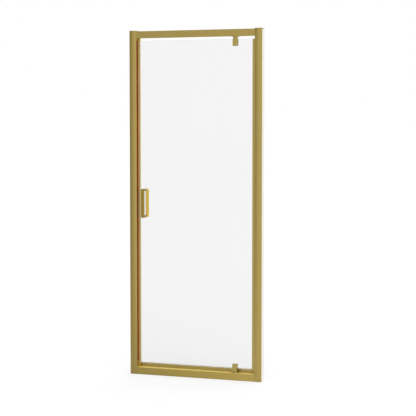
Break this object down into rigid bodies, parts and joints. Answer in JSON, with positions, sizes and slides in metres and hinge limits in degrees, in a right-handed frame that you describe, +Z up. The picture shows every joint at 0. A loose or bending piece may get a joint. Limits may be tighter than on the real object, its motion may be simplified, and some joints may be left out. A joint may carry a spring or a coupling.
{
  "type": "pivot shower door",
  "caption": "Inset pivot shower door: a gold-finished aluminium frame for a recess and a clear glass panel that turns on top and bottom pivots, with a bar handle on both faces.",
  "frame": {"origin": "middle of the threshold's underside, which stands on the shower tray", "axes": "+Z up, +X towards the pivot side, -Y outwards, the side that the handle edge opens to"},
  "size_m": [0.8, 0.088, 2],
  "materials": {
    "frame_gold": "bright gold anodised",
    "channel_aluminium": "pale satin anodised",
    "anchor_aluminium": "mill finish",
    "cap_gold": "gold-coloured moulding",
    "fitting_gold": "gold plated, polished",
    "handle_gold": "gold plated, polished",
    "core_brass": "machined",
    "pin_steel": "ground stainless steel",
    "screw_steel": "stainless steel",
    "bush_nylon": "natural nylon",
    "door_glass": "clear toughened glass",
    "seal_amber": "translucent amber vinyl",
    "seal_magnetic": "gold vinyl round a magnet",
    "seal_clear": "clear vinyl",
    "gasket_clear": "clear soft vinyl"
  },
  "bodies": {
    "frame": {"wall_channel_left": "channel_aluminium", "wall_channel_right": "channel_aluminium", "jamb_left": "frame_gold", "jamb_right": "frame_gold", "jamb_cap_left": "cap_gold", "jamb_cap_right": "cap_gold", "top_rail": "frame_gold", "threshold_rail": "frame_gold", "water_bar": "frame_gold", "strike_profile": "frame_gold", "strike_magnetic_strip": "seal_magnetic", "corner_screws": "screw_steel", "jamb_screws": "screw_steel", "jamb_screw_caps": "cap_gold", "top_pivot_anchor": "anchor_aluminium", "top_anchor_screws": "screw_steel", "top_pivot_collar": "fitting_gold", "top_pivot_pin": "pin_steel", "bottom_pivot_anchor": "anchor_aluminium", "bottom_anchor_screws": "screw_steel", "bottom_pivot_collar": "fitting_gold", "bottom_pivot_pin": "pin_steel", "thrust_washer": "bush_nylon"},
    "door": {"glass_panel": "door_glass", "door_magnetic_seal": "seal_amber", "trailing_edge_channel": "frame_gold", "drip_seal": "seal_clear", "top_clamp_front": "fitting_gold", "top_clamp_back": "fitting_gold", "top_clamp_gaskets": "gasket_clear", "top_pivot_core": "core_brass", "top_pivot_bush": "bush_nylon", "top_clamp_screws": "screw_steel", "bottom_clamp_front": "fitting_gold", "bottom_clamp_back": "fitting_gold", "bottom_clamp_gaskets": "gasket_clear", "bottom_pivot_core": "core_brass", "bottom_pivot_bush": "bush_nylon", "bottom_clamp_screws": "screw_steel", "handle_outer": "handle_gold", "handle_inner": "handle_gold", "handle_pads": "gasket_clear", "handle_sleeves": "gasket_clear", "handle_studs": "screw_steel", "handle_grub_screws": "screw_steel"}
  },
  "joints": [
    {"name": "door_hinge", "type": "hinge", "parent": "frame", "child": "door", "pos_m": [0.24, -0.0065, 0.053], "axis": [0, 0, 1], "range_deg": [0, 110]}
  ]
}
